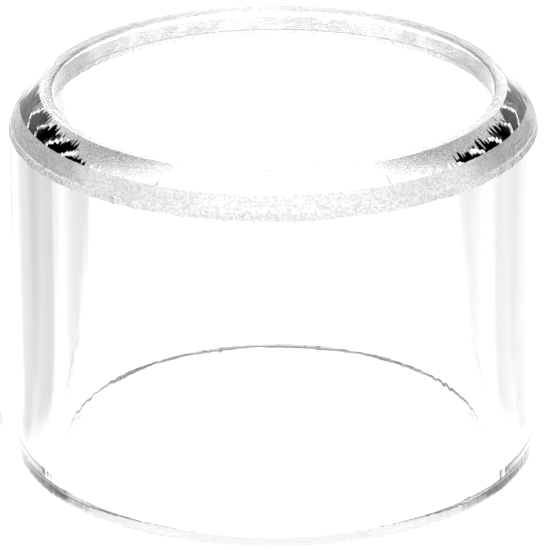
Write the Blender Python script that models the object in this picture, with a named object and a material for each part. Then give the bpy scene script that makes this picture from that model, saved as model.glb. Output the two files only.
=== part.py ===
"""Short finger slide for guitar: one thick-walled ring of clear borosilicate glass, open at both ends.

Metres, +Z up. The origin is the middle of the lower end, on the surface that the ring stands on.
The ring is a single turned piece: its outline is worked out in the R-Z half plane and spun about Z.
"""
import math

import bmesh
import bpy
from mathutils import Vector

MM = 0.001

# The length of glass tube that the slide is cut from
OUTER_DIAMETER = 24.0 * MM
BORE_DIAMETER = 20.0 * MM
LENGTH = 17.4 * MM

# Upper end: three flats ground one above the other round the outside, as (width, height), the
# lowest first. The narrow lowest and the middle one are left matt, and the top one is polished.
EDGE_FLAT = Vector((0.10, 0.30)) * MM
GROUND_FLAT = Vector((0.43, 0.75)) * MM
POLISHED_FLAT = Vector((0.89, 0.75)) * MM
MOUTH_ROUNDING = 0.12 * MM  # where the narrow flat rim turns down into the bore

# Lower end: cut square, with both edges only just broken
ARRIS = 0.10 * MM

SIDES = 128  # flats round the ring
MOUTH_STEPS = 3  # flats across the rounded mouth

GLASS_COLOUR = (0.97, 0.98, 0.98, 1.0)
GLASS_ROUGHNESS = 0.03
GLASS_IOR = 1.47


def clear_scene():
    for obj in list(bpy.data.objects):
        bpy.data.objects.remove(obj, do_unlink=True)


def glass_material():
    material = bpy.data.materials.new("clear_glass")
    material.use_nodes = True
    shader = material.node_tree.nodes["Principled BSDF"]
    shader.inputs["Base Color"].default_value = GLASS_COLOUR
    shader.inputs["Metallic"].default_value = 0.0
    shader.inputs["Roughness"].default_value = GLASS_ROUGHNESS
    shader.inputs["IOR"].default_value = GLASS_IOR
    shader.inputs["Transmission Weight"].default_value = 1.0
    return material


def arc(centre, start, end, steps):
    """Points of the arc round the centre, from the start to the end."""
    first = start - centre
    last = end - centre
    turn = first.angle(last)
    points = []
    for step in range(steps + 1):
        share = step / steps
        swung = (first * math.sin((1 - share) * turn) + last * math.sin(share * turn)) / math.sin(turn)
        points.append(centre + swung)
    return points


def ring_outline():
    """The ring's cross-section as (radius, height) points, once round, starting inside the lower end."""
    outer = OUTER_DIAMETER / 2
    bore = BORE_DIAMETER / 2
    lower_end = [
        Vector((bore, ARRIS)),
        Vector((bore + ARRIS, 0.0)),
        Vector((outer - ARRIS, 0.0)),
        Vector((outer, ARRIS)),
    ]
    corner = Vector((outer, LENGTH - EDGE_FLAT.y - GROUND_FLAT.y - POLISHED_FLAT.y))
    shoulder = [corner]
    for width, height in (EDGE_FLAT, GROUND_FLAT, POLISHED_FLAT):
        corner = corner + Vector((-width, height))
        shoulder.append(corner)
    mouth_centre = Vector((bore + MOUTH_ROUNDING, LENGTH - MOUTH_ROUNDING))
    mouth_top = mouth_centre + Vector((0.0, MOUTH_ROUNDING))
    mouth_side = mouth_centre - Vector((MOUTH_ROUNDING, 0.0))
    mouth = arc(mouth_centre, mouth_top, mouth_side, MOUTH_STEPS)
    return lower_end + shoulder + mouth


def spin_outline(bm, outline):
    corners = [bm.verts.new((radius, 0.0, height)) for radius, height in outline]
    edges = [bm.edges.new((a, b)) for a, b in zip(corners, corners[1:] + corners[:1])]
    bmesh.ops.spin(
        bm,
        geom=corners + edges,
        cent=(0.0, 0.0, 0.0),
        axis=(0.0, 0.0, 1.0),
        angle=2 * math.pi,
        steps=SIDES,
        use_merge=True,
    )
    bmesh.ops.recalc_face_normals(bm, faces=bm.faces)


def make_glass_tube():
    mesh = bpy.data.meshes.new("glass_tube")
    bm = bmesh.new()
    spin_outline(bm, ring_outline())
    bm.to_mesh(mesh)
    bm.free()
    mesh.materials.append(glass_material())
    mesh.shade_smooth()
    mesh.set_sharp_from_angle(angle=math.radians(30))
    tube = bpy.data.objects.new("glass_tube", mesh)
    bpy.context.scene.collection.objects.link(tube)
    return tube


clear_scene()
make_glass_tube()
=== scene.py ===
"""Looks of the glass finger slide: a short thick-walled ring of clear glass on a bright plain floor."""
import math
import random

import bpy
from mathutils import Matrix, Vector, noise


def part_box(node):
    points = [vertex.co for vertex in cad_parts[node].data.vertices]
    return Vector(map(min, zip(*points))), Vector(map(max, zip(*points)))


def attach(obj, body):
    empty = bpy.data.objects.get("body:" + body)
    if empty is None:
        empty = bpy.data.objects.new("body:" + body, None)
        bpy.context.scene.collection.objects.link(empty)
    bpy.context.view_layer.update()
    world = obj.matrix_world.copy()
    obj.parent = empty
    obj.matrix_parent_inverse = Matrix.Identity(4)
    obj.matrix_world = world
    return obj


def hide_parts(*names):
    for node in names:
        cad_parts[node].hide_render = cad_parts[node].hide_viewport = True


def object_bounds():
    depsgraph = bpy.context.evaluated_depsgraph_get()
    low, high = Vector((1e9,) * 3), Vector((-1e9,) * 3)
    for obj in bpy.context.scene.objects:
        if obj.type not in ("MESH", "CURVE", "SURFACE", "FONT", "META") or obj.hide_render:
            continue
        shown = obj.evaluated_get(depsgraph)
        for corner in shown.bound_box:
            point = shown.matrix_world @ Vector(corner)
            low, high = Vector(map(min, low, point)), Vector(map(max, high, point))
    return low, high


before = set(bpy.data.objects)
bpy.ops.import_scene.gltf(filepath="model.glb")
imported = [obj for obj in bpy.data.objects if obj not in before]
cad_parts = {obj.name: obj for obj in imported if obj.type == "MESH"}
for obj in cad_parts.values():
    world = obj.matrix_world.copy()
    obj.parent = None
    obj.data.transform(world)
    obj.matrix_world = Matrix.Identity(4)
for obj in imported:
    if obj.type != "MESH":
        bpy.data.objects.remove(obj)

MM = 0.001

# Shape that the frame gives
CAD_LOW, CAD_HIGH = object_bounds()
NODE_LOW, NODE_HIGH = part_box("glass_tube")
OUTER = (NODE_HIGH.x - NODE_LOW.x) / 2
LENGTH = NODE_HIGH.z - NODE_LOW.z
BORE = min(math.hypot(v.co.x, v.co.y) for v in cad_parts["glass_tube"].data.vertices)

# The three flats of the shoulder, as in the CAD part: width and height, from the outer wall upwards
EDGE_FLAT = Vector((0.10, 0.30)) * MM
GROUND_FLAT = Vector((0.43, 0.75)) * MM
POLISHED_FLAT = Vector((0.89, 0.75)) * MM
POLISHED_CROWN = 0.005 * MM
MOUTH_ROUNDING = 0.12 * MM
RIDGE = 0.024 * MM  # half width of the bright chipped line between the edge flat and the ground flat

# Fineness of the mesh: positions round the ring, and steps along each stretch of the outline
SEGMENTS = 1440
STEPS = {
    "inner_arris": 4, "land": 3, "outer_arris": 4, "wall": 6, "wall_top": 3, "edge_flat": 3,
    "ground": 6, "lip": 10, "rim": 3, "mouth": 4, "bore": 8,
}
SHARP_ANGLE = math.radians(14)

# Unevenness of the hand-finished glass. Each WAVES is a ripple: waves a turn, and seed.
ARRIS_WIDTH = (  # width of the broken edges of the lower end in mm, by angle in degrees
    (0, 0.08), (25, 0.20), (50, 0.26), (90, 0.26), (130, 0.26), (155, 0.20), (180, 0.08), (270, 0.05),
    (360, 0.08),
)
ARRIS_UNEVEN = 0.5  # how much that width varies, as a share of it
INNER_WAVES = (24, 2)
INNER_FINE_WAVES = (60, 8)
INNER_FINE_PART = 4  # how many times lower the fine waves are
OUTER_WAVES = (20, 3)
OUTER_FINE_WAVES = (60, 9)
OUTER_FINE_PART = 3
FOOT_UNEVEN = 0.05 * MM  # rise and fall of the line where the shoulder leaves the outer wall
FOOT_WAVES = (60, 5)
FOOT_ROOM = 0.30 * MM  # height below that line that its chips stay within
BAND_UNEVEN = 0.02 * MM  # rise and fall of the line between the ground and the polished flat
BAND_WAVES = (120, 6)
RIDGE_FOOT_WAVES = (200, 10)
RIDGE_TOP_WAVES = (200, 11)
DRAW_LINES = 0.0008 * MM  # lengthwise ripple of the drawn tube
WALL_WAVES = (160, 1)
BORE_WAVES = (120, 4)
FLUTES = 0.0002 * MM  # radial ripple of the polished flat
FLUTE_WAVES = (700, 7)
NARROWEST_CHIP = 0.25  # against the widest one of its edge
SHALLOWEST_CHIP = 0.3  # against the deepest one of its edge

# Where grinding has left the polished flat matt: angle round the ring in degrees, and how far
# the matt reaches down from the rim there in mm
MATT_REACH = (
    (0, -0.40), (20, 0.00), (165, 0.00), (178, -0.35), (192, -0.20), (203, 0.20), (216, 0.45), (225, 1.10),
    (238, 1.10), (250, 0.10), (290, 0.00), (302, 1.00), (312, 1.10), (318, 0.70), (338, 0.50), (350, -0.40),
    (360, -0.40),
)
MATT_EDGE = (-0.02, 0.04)  # mm over which clear glass turns matt
# The ragged edge of that zone: marks a turn, change per mm across the rim, and reach in mm
TEETH = (260, 0.2, 1.5)
BROAD_TEETH = (60, 0.5, 0.8)

# Share of the light that matt glass scatters white: at the front of the ring, and what the sides have more,
# which is painted light that lightens the sides
LIP_WHITE = (0.25, 0.60)
EDGE_WHITE = (0.10, 0.20)
RIDGE_WHITE = (0.80, 0.10)
GROUND_WHITE = (0.03, 0.30)
RIM_WHITE = (0.05, 0.00)
# The sides take more white than the front: painted light that lightens them
PAINTED_SIDE_LIGHT = (  # how much a place belongs to the sides, by angle in degrees
    (0, 1.0), (20, 1.0), (50, 0.0), (130, 0.0), (160, 1.0), (200, 1.0), (230, 0.0), (310, 0.0), (348, 1.0),
    (360, 1.0),
)

# Roughness of each kind of matt glass, where it is smoothest and where it is roughest
LIP_ROUGHNESS = (0.15, 0.50)
EDGE_ROUGHNESS = (0.20, 0.40)
RIDGE_ROUGHNESS = (0.20, 0.50)
GROUND_ROUGHNESS = (0.30, 0.52)
RIM_ROUGHNESS = (0.05, 0.25)

# Texture of the matt glass: grains, specks and patches in marks per metre, and contrasts as the part of
# the noise that shows
LIP_GRAIN = 12000.0
LIP_CONTRAST = (0.35, 0.65)
LIP_RELIEF = 0.02 * MM
GROUND_GRAIN = 9000.0
GRAIN_CONTRAST = (0.42, 0.58)
GRAIN_WHITE = 0.2  # how much the share of white varies from grain to grain
GROUND_SPECKS = 8000.0
SPECK_CONTRAST = (0.38, 0.58)
SPECK_DARKEST = 0.70
GROUND_PATCHES = 900.0
PATCH_CONTRAST = (0.3, 0.7)
SCRATCHES = (40, 12.0)  # marks a turn, and change per mm across the rim
SCRATCH_HEIGHT = 1.5  # against the height of the grain
GROUND_RELIEF = 0.025 * MM

# Body of the glass
GLASS_IOR = 1.47
GLASS_TINT = (0.35, 0.40, 0.40, 1)
GLASS_DENSITY = 14.0  # of the light lost on its way through, per metre, before the tint

# Camera, in outer radii from the middle of the lower end
CAMERA_SIDE = 0.0026
CAMERA_DISTANCE = 18.658
CAMERA_HEIGHT = 8.526
CAMERA_TILT = 0.3984
CAMERA_ROLL = -0.006
CAMERA_LENS = 346.55
CAMERA_SENSOR = 36.0
CAMERA_CLIP = 0.01

# Floor
FLOOR_SIZE = 6.0
FLOOR_GAP = 0.02 * MM
FLOOR_COLOUR = (0.4, 0.4, 0.4, 1)
FLOOR_GLOW = 1.6

# Two soft shades on the floor, which fan out behind the ring from its left and its right side
SHADE_START = 12.0 * MM  # how far to the side they start
SHADE_APEX = 2.0 * MM  # how far before the middle of the ring their slopes start to count
SHADE_APEX_WIDTH = 0.5 * MM
SHADE_SLOPES = (0.05, 0.22, 1.20, 2.20)  # sideways per backwards: starts, is deep, ends being deep, ends
SHADE_NEAR = (-4.0 * MM, 3.0 * MM)  # backwards from the middle of the ring: where they start, are deep
SHADE_FAR = (34.0 * MM, 75.0 * MM)  # and where they end being deep, end
SHADE_LEFT = 0.22  # share of the glow that is left in each
SHADE_RIGHT = 0.35

# Studio by direction: z upwards, y backwards, and "behind" backwards within the level. Each pair is where
# the light starts to change and where it has changed.
HORIZON_TOP = (0.1, 0.2)
HORIZON_GAP = (0.62, 0.74)
BACKDROP_EDGE = (0.90, 0.95)
BACKDROP_GLOW = 1.6
LOW_BACKDROP_EDGE = (0.66, 0.80)
LOW_BACKDROP_TOP = (0.45, 0.55)
LOW_BACKDROP_GLOW = 0.9
OVERHEAD_EDGE = (0.78, 0.88)
OVERHEAD_GLOW = 2.8

# How many times light may be passed on by the glass, and be mirrored
GLASS_BOUNCES = 24
GLOSSY_BOUNCES = 12


# ---------------------------------------------------------------- unevenness round the ring

def ripple(angle, waves, seed):
    """Smooth noise from about -1 to 1 that closes on itself after a turn."""
    reach = waves / math.pi
    return noise.noise(Vector((reach * math.cos(angle), reach * math.sin(angle), seed)))


def between_knots(knots, place):
    """Value at the place, eased from each knot (place, value) to the next."""
    for (start, low), (end, high) in zip(knots, knots[1:]):
        if place <= end:
            share = (place - start) / (end - start)
            return low + (high - low) * share * share * (3 - 2 * share)


def make_chips(count, widest, deepest, seed):
    """Small bites out of an edge, as (angle, half width as an angle, depth)."""
    rng = random.Random(seed)
    chips = []
    for _ in range(count):
        size = rng.random() ** 2
        half = (NARROWEST_CHIP + (1 - NARROWEST_CHIP) * size) * widest / 2 / OUTER
        depth = (SHALLOWEST_CHIP + (1 - SHALLOWEST_CHIP) * size) * deepest
        chips.append((rng.uniform(0, 2 * math.pi), half, depth))
    return chips


def bite(chips, angle):
    """Depth of the chips at the angle."""
    deepest = 0.0
    for centre, half, depth in chips:
        off = abs((angle - centre + math.pi) % (2 * math.pi) - math.pi) / half
        if off < 1:
            deepest = max(deepest, depth * math.sqrt(1 - off * off))
    return deepest


FOOT_CHIPS = make_chips(count=80, widest=0.30 * MM, deepest=0.08 * MM, seed=3)
BAND_CHIPS = make_chips(count=300, widest=0.14 * MM, deepest=0.008 * MM, seed=4)
OUTER_CHIPS = make_chips(count=110, widest=0.4 * MM, deepest=0.07 * MM, seed=5)
INNER_CHIPS = make_chips(count=50, widest=0.8 * MM, deepest=0.07 * MM, seed=6)


# ---------------------------------------------------------------- shape

def arc(centre, start, end, steps):
    """Points of the arc round the centre, from the start to the end."""
    first = start - centre
    last = end - centre
    turn = first.angle(last)
    points = []
    for step in range(steps + 1):
        share = step / steps
        swung = (first * math.sin((1 - share) * turn) + last * math.sin(share * turn)) / math.sin(turn)
        points.append(centre + swung)
    return points


def line(start, end, steps):
    return [start.lerp(end, step / steps) for step in range(steps + 1)]


def crowned_line(start, end, crown, steps):
    """Points of the shallow arc from the start to the end that stands out to their right by the crown."""
    chord = end - start
    outward = Vector((chord.y, -chord.x)).normalized()
    radius = (chord.length_squared / 4 + crown ** 2) / (2 * crown)
    centre = (start + end) / 2 - outward * (radius - crown)
    return arc(centre, start, end, steps)


def arris_width(angle, waves, fine_waves, fine_part, chips):
    """Width of a broken edge at the angle: waves, finer waves so many times lower, and chips."""
    width = between_knots(ARRIS_WIDTH, math.degrees(angle)) * MM
    uneven = ripple(angle, *waves) + ripple(angle, *fine_waves) / fine_part
    return width * (1 + ARRIS_UNEVEN * uneven) + bite(chips, angle)


def ridge_point(corner, towards, angle, waves):
    """Where the chipped line round the corner ends, on the flat that leads towards the given point."""
    return corner + (towards - corner).normalized() * RIDGE * (1 + ripple(angle, *waves))


def ring_stretches(angle):
    """The outline at the angle: the points of each stretch, once round, starting inside the lower end."""
    inner = arris_width(angle, INNER_WAVES, INNER_FINE_WAVES, INNER_FINE_PART, INNER_CHIPS)
    outer = arris_width(angle, OUTER_WAVES, OUTER_FINE_WAVES, OUTER_FINE_PART, OUTER_CHIPS)
    wall = OUTER + DRAW_LINES * ripple(angle, *WALL_WAVES) - DRAW_LINES
    bore = BORE - DRAW_LINES * ripple(angle, *BORE_WAVES) + DRAW_LINES
    foot = FOOT_UNEVEN * ripple(angle, *FOOT_WAVES) - bite(FOOT_CHIPS, angle)
    band = BAND_UNEVEN * ripple(angle, *BAND_WAVES) - bite(BAND_CHIPS, angle)
    crown = POLISHED_CROWN + FLUTES * ripple(angle, *FLUTE_WAVES)

    inner_side = Vector((bore, inner))
    inner_centre = Vector((bore + inner, inner))
    inner_land = Vector((bore + inner, 0.0))
    outer_land = Vector((wall - outer, 0.0))
    outer_centre = Vector((wall - outer, outer))
    outer_side = Vector((wall, outer))

    rim = Vector((OUTER - EDGE_FLAT.x - GROUND_FLAT.x - POLISHED_FLAT.x, LENGTH))
    polished_foot = rim + Vector((POLISHED_FLAT.x, -POLISHED_FLAT.y))
    ground_foot = polished_foot + Vector((GROUND_FLAT.x, -GROUND_FLAT.y))
    wall_top = Vector((wall, ground_foot.y - EDGE_FLAT.y + foot))
    wall_below = Vector((wall, ground_foot.y - EDGE_FLAT.y - FOOT_ROOM))
    polished_foot = polished_foot.lerp(rim, -band / POLISHED_FLAT.length)
    ridge_foot = ridge_point(ground_foot, wall_top, angle, RIDGE_FOOT_WAVES)
    ridge_top = ridge_point(ground_foot, polished_foot, angle, RIDGE_TOP_WAVES)

    mouth_centre = Vector((bore + MOUTH_ROUNDING, LENGTH - MOUTH_ROUNDING))
    mouth_top = mouth_centre + Vector((0.0, MOUTH_ROUNDING))
    mouth_side = mouth_centre - Vector((MOUTH_ROUNDING, 0.0))
    return {
        "inner_arris": arc(inner_centre, inner_side, inner_land, STEPS["inner_arris"]),
        "land": line(inner_land, outer_land, STEPS["land"]),
        "outer_arris": arc(outer_centre, outer_land, outer_side, STEPS["outer_arris"]),
        "wall": line(outer_side, wall_below, STEPS["wall"]),
        "wall_top": line(wall_below, wall_top, STEPS["wall_top"]),
        "edge_flat": line(wall_top, ridge_foot, STEPS["edge_flat"]),
        "ridge": [ridge_foot, ground_foot, ridge_top],
        "ground": line(ridge_top, polished_foot, STEPS["ground"]),
        "lip": crowned_line(polished_foot, rim, crown, STEPS["lip"]),
        "rim": line(rim, mouth_top, STEPS["rim"]),
        "mouth": arc(mouth_centre, mouth_top, mouth_side, STEPS["mouth"]),
        "bore": line(mouth_side, inner_side, STEPS["bore"]),
    }


SLOT_OF_STRETCH = {"edge_flat": 1, "ridge": 2, "ground": 3, "rim": 4, "mouth": 4}  # the others take slot 0


def matt_depth(name, point, rim, reach):
    """How deep in the matt zone of the polished flat the point is, in mm; negative outside it."""
    if name in ("lip", "rim"):
        return (reach - (point - rim).length) / MM
    return -1.0


def ring_faces(count):
    """The faces between each outline of so many points and the next one round the ring."""
    faces = []
    for k in range(SEGMENTS):
        here = k * count
        there = (k + 1) % SEGMENTS * count
        for j in range(count):
            n = (j + 1) % count
            faces.append((here + j, there + j, there + n, here + n))
    return faces


def make_ring():
    verts = []
    matt = []
    side = []
    for k in range(SEGMENTS):
        angle = 2 * math.pi * k / SEGMENTS
        reach = between_knots(MATT_REACH, math.degrees(angle)) * MM
        # How much of the painted light on the sides this angle gets
        side_light_here = between_knots(PAINTED_SIDE_LIGHT, math.degrees(angle))
        stretches = ring_stretches(angle)
        rim = stretches["rim"][0]
        for name, points in stretches.items():
            for point in points[:-1]:
                verts.append((point.x * math.cos(angle), point.x * math.sin(angle), point.y))
                matt.append(matt_depth(name, point, rim, reach))
                side.append(side_light_here)
    slot_of = [SLOT_OF_STRETCH.get(name, 0) for name, points in stretches.items() for _ in points[:-1]]
    mesh = bpy.data.meshes.new("glass_ring")
    mesh.from_pydata(verts, [], ring_faces(len(slot_of)))
    mesh.polygons.foreach_set("material_index", slot_of * SEGMENTS)
    mesh.attributes.new("matt", "FLOAT", "POINT").data.foreach_set("value", matt)
    # Each point's share of the painted light on the sides, for the materials to read
    mesh.attributes.new("side", "FLOAT", "POINT").data.foreach_set("value", side)
    mesh.shade_smooth()
    mesh.set_sharp_from_angle(angle=SHARP_ANGLE)
    mesh.materials.append(clear_glass())
    mesh.materials.append(ground_glass("edge_glass", EDGE_WHITE, EDGE_ROUGHNESS))
    mesh.materials.append(ground_glass("ridge_glass", RIDGE_WHITE, RIDGE_ROUGHNESS))
    mesh.materials.append(ground_glass("ground_glass", GROUND_WHITE, GROUND_ROUGHNESS))
    mesh.materials.append(ground_glass("rim_glass", RIM_WHITE, RIM_ROUGHNESS))
    ring = bpy.data.objects.new("glass_ring", mesh)
    bpy.context.scene.collection.objects.link(ring)
    return ring


# ---------------------------------------------------------------- materials

class Nodes:
    """Short forms for building a node tree: a value is a number, a vector or another node's output."""

    def __init__(self, tree):
        self.tree = tree

    def add(self, kind, **settings):
        node = self.tree.nodes.new(kind)
        for name, value in settings.items():
            setattr(node, name, value)
        return node

    def feed(self, socket, value):
        if isinstance(value, bpy.types.NodeSocket):
            self.tree.links.new(value, socket)
        else:
            socket.default_value = value

    def place(self, kind="Object"):
        """Coordinates of the place that is shaded, or with "Generated" the direction in the studio."""
        return self.add("ShaderNodeTexCoord").outputs[kind]

    def split(self, vector):
        node = self.add("ShaderNodeSeparateXYZ")
        self.feed(node.inputs[0], vector)
        return node.outputs

    def attribute(self, name):
        return self.add("ShaderNodeAttribute", attribute_name=name).outputs["Fac"]

    def math(self, operation, *values):
        node = self.add("ShaderNodeMath", operation=operation)
        for socket, value in zip(node.inputs, values):
            self.feed(socket, value)
        return node.outputs[0]

    def product(self, *values):
        """All the values multiplied with each other."""
        result = values[0]
        for value in values[1:]:
            result = self.math("MULTIPLY", result, value)
        return result

    def vector(self, operation, *values):
        node = self.add("ShaderNodeVectorMath", operation=operation)
        for socket, value in zip(node.inputs, values):
            self.feed(socket, value)
        return node.outputs[0]

    def length(self, vector):
        node = self.add("ShaderNodeVectorMath", operation="LENGTH")
        self.feed(node.inputs[0], vector)
        return node.outputs["Value"]

    def step(self, value, low, high, to_low=0.0, to_high=1.0):
        """Smooth step of the value, from to_low below low to to_high above high."""
        node = self.add("ShaderNodeMapRange", interpolation_type="SMOOTHSTEP")
        for socket, item in zip(node.inputs, (value, low, high, to_low, to_high)):
            self.feed(socket, item)
        return node.outputs[0]

    def noise(self, vector, scale, detail):
        node = self.add("ShaderNodeTexNoise")
        self.feed(node.inputs["Vector"], vector)
        node.inputs["Scale"].default_value = scale
        node.inputs["Detail"].default_value = detail
        return node.outputs["Fac"]

    def radial_noise(self, marks, across, detail):
        """Noise in so many marks a turn round the ring, which changes so much per mm across the rim."""
        flat = self.vector("MULTIPLY", self.place(), (1, 1, 0))
        round_ring = self.vector("SCALE", self.vector("NORMALIZE", flat), (0, 0, 0))
        round_ring.node.inputs["Scale"].default_value = marks / math.pi
        rise = self.add("ShaderNodeCombineXYZ")
        self.feed(rise.inputs[2], self.math("MULTIPLY", self.length(flat), across / MM))
        return self.noise(self.vector("ADD", round_ring, rise.outputs[0]), 1.0, detail)

    def bump(self, height, distance):
        node = self.add("ShaderNodeBump")
        node.inputs["Strength"].default_value = 1.0
        node.inputs["Distance"].default_value = distance
        self.feed(node.inputs["Height"], height)
        return node.outputs[0]


def glass(name):
    """A new glass material, its nodes and its surface shader."""
    material = bpy.data.materials.new(name)
    material.use_nodes = True
    tree = material.node_tree
    shader = tree.nodes["Principled BSDF"]
    shader.inputs["Transmission Weight"].default_value = 1.0
    shader.inputs["IOR"].default_value = GLASS_IOR
    absorb = tree.nodes.new("ShaderNodeVolumeAbsorption")
    absorb.inputs["Color"].default_value = GLASS_TINT
    absorb.inputs["Density"].default_value = GLASS_DENSITY
    tree.links.new(absorb.outputs[0], tree.nodes["Material Output"].inputs["Volume"])
    return material, Nodes(tree), shader


def white_with_painted_side_light(nodes, share):
    """The share of white at the place, from the one at the front and what the sides have more as painted
    light.
    """
    at_front, more_at_sides = share
    return nodes.math("MULTIPLY_ADD", nodes.attribute("side"), more_at_sides, at_front)


def teeth(nodes, marks, across, reach):
    """How far the matt zone's edge is moved by teeth of the given reach, in mm."""
    around_zero = nodes.math("SUBTRACT", nodes.radial_noise(marks, across, 1.0), 0.5)
    return nodes.math("MULTIPLY", around_zero, reach)


def clear_glass():
    """Clear glass, with the matt zone and the teeth that run down from it near the mouth."""
    material, nodes, shader = glass("clear_glass")
    ragged = nodes.math("ADD", teeth(nodes, *TEETH), teeth(nodes, *BROAD_TEETH))
    matt = nodes.step(nodes.math("ADD", nodes.attribute("matt"), ragged), *MATT_EDGE)
    # White scatter of the matt zone, with painted light added at the sides
    scatter = nodes.math("MULTIPLY", matt, white_with_painted_side_light(nodes, LIP_WHITE))
    nodes.feed(shader.inputs["Transmission Weight"], nodes.math("SUBTRACT", 1.0, scatter))
    grain = nodes.noise(nodes.place(), LIP_GRAIN, 2.0)
    rough = nodes.step(grain, *LIP_CONTRAST, *LIP_ROUGHNESS)
    nodes.feed(shader.inputs["Roughness"], nodes.math("MULTIPLY", matt, rough))
    nodes.feed(shader.inputs["Normal"], nodes.bump(nodes.math("MULTIPLY", matt, grain), LIP_RELIEF))
    return material


def ground_glass(name, white, roughness):
    """Fine-ground glass: a speckled matt surface with scratches that run round the shoulder."""
    material, nodes, shader = glass(name)
    specks = nodes.noise(nodes.place(), GROUND_SPECKS, 1.0)
    shade = nodes.step(specks, *SPECK_CONTRAST, SPECK_DARKEST, 1.0)
    tint = nodes.add("ShaderNodeCombineColor")
    for channel in tint.inputs:
        nodes.feed(channel, shade)
    nodes.feed(shader.inputs["Base Color"], tint.outputs[0])
    grain = nodes.noise(nodes.place(), GROUND_GRAIN, 3.0)
    speckle = nodes.step(grain, *GRAIN_CONTRAST, -0.5, 0.5)
    # White scatter of the ground glass, with painted light added at the sides
    scatter = nodes.math("MULTIPLY_ADD", speckle, GRAIN_WHITE, white_with_painted_side_light(nodes, white))
    nodes.feed(shader.inputs["Transmission Weight"], nodes.math("SUBTRACT", 1.0, scatter))
    patches = nodes.noise(nodes.place(), GROUND_PATCHES, 3.0)
    nodes.feed(shader.inputs["Roughness"], nodes.step(patches, *PATCH_CONTRAST, *roughness))
    scratches = nodes.radial_noise(*SCRATCHES, 2.0)
    height = nodes.math("ADD", grain, nodes.math("MULTIPLY", scratches, SCRATCH_HEIGHT))
    nodes.feed(shader.inputs["Normal"], nodes.bump(height, GROUND_RELIEF))
    return material


# ---------------------------------------------------------------- stage, light and camera

def floor_shade(nodes, x, y, sideways, share):
    """What the shade on one side multiplies the floor's glow by; sideways is -1 for left, 1 for right."""
    back = nodes.math("MAXIMUM", nodes.math("ADD", y, SHADE_APEX), SHADE_APEX_WIDTH)
    slope = nodes.math("DIVIDE", nodes.math("MULTIPLY_ADD", x, sideways, -SHADE_START), back)
    start = nodes.step(slope, *SHADE_SLOPES[:2])
    end = nodes.step(slope, *SHADE_SLOPES[2:], 1.0, 0.0)
    near = nodes.step(y, *SHADE_NEAR)
    far = nodes.step(y, *SHADE_FAR, 1.0, 0.0)
    return nodes.math("ADD", nodes.product(start, end, near, far, share - 1), 1.0)


def floor_material():
    material = bpy.data.materials.new("floor_glow")
    material.use_nodes = True
    nodes = Nodes(material.node_tree)
    shader = material.node_tree.nodes["Principled BSDF"]
    shader.inputs["Base Color"].default_value = FLOOR_COLOUR
    shader.inputs["Emission Color"].default_value = (1, 1, 1, 1)
    x, y, _ = nodes.split(nodes.place())
    left = floor_shade(nodes, x, y, -1, SHADE_LEFT)
    right = floor_shade(nodes, x, y, 1, SHADE_RIGHT)
    nodes.feed(shader.inputs["Emission Strength"], nodes.product(FLOOR_GLOW, left, right))
    return material


def make_floor():
    mesh = bpy.data.meshes.new("floor")
    half = FLOOR_SIZE / 2
    height = CAD_LOW.z - FLOOR_GAP
    corners = [(-half, -half, height), (half, -half, height), (half, half, height), (-half, half, height)]
    mesh.from_pydata(corners, [], [(0, 1, 2, 3)])
    mesh.materials.append(floor_material())
    floor = bpy.data.objects.new("floor", mesh)
    bpy.context.scene.collection.objects.link(floor)


def make_world():
    """Dark studio with a bright horizon, a bright backdrop behind the object and a bright top light."""
    world = bpy.data.worlds.new("studio")
    bpy.context.scene.world = world
    world.use_nodes = True
    nodes = Nodes(world.node_tree)
    _, y, z = nodes.split(nodes.place("Generated"))
    level = nodes.math("SQRT", nodes.math("SUBTRACT", 1.0, nodes.math("MULTIPLY", z, z)))
    behind = nodes.math("DIVIDE", y, level)
    gap = nodes.step(behind, *HORIZON_GAP, 1.0, 0.0)
    horizon = nodes.product(nodes.step(z, *HORIZON_TOP, 1.0, 0.0), gap)
    backdrop = nodes.step(behind, *BACKDROP_EDGE, 0.0, BACKDROP_GLOW)
    low_edge = nodes.step(y, *LOW_BACKDROP_EDGE, 0.0, LOW_BACKDROP_GLOW)
    low_backdrop = nodes.product(low_edge, nodes.step(z, *LOW_BACKDROP_TOP, 1.0, 0.0))
    overhead = nodes.step(z, *OVERHEAD_EDGE, 0.0, OVERHEAD_GLOW)
    light = horizon
    for other in (overhead, backdrop, low_backdrop):
        light = nodes.math("MAXIMUM", light, other)
    nodes.feed(world.node_tree.nodes["Background"].inputs["Color"], light)


def make_camera():
    data = bpy.data.cameras.new("camera")
    data.sensor_width = CAMERA_SENSOR
    data.lens = CAMERA_LENS
    data.clip_start = CAMERA_CLIP
    camera = bpy.data.objects.new("camera", data)
    bpy.context.scene.collection.objects.link(camera)
    place = Vector((CAMERA_SIDE, -CAMERA_DISTANCE, CAMERA_HEIGHT)) * OUTER
    turn = Matrix.Rotation(math.pi / 2 - CAMERA_TILT, 4, "X") @ Matrix.Rotation(CAMERA_ROLL, 4, "Z")
    camera.matrix_world = Matrix.Translation(place) @ turn
    bpy.context.scene.camera = camera


def set_light_paths():
    scene = bpy.context.scene
    scene.view_settings.view_transform = "Standard"
    scene.cycles.max_bounces = GLASS_BOUNCES
    scene.cycles.transmission_bounces = GLASS_BOUNCES
    scene.cycles.glossy_bounces = GLOSSY_BOUNCES


make_camera()
ring = make_ring()
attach(ring, "root")
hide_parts("glass_tube")
make_floor()
make_world()
set_light_paths()
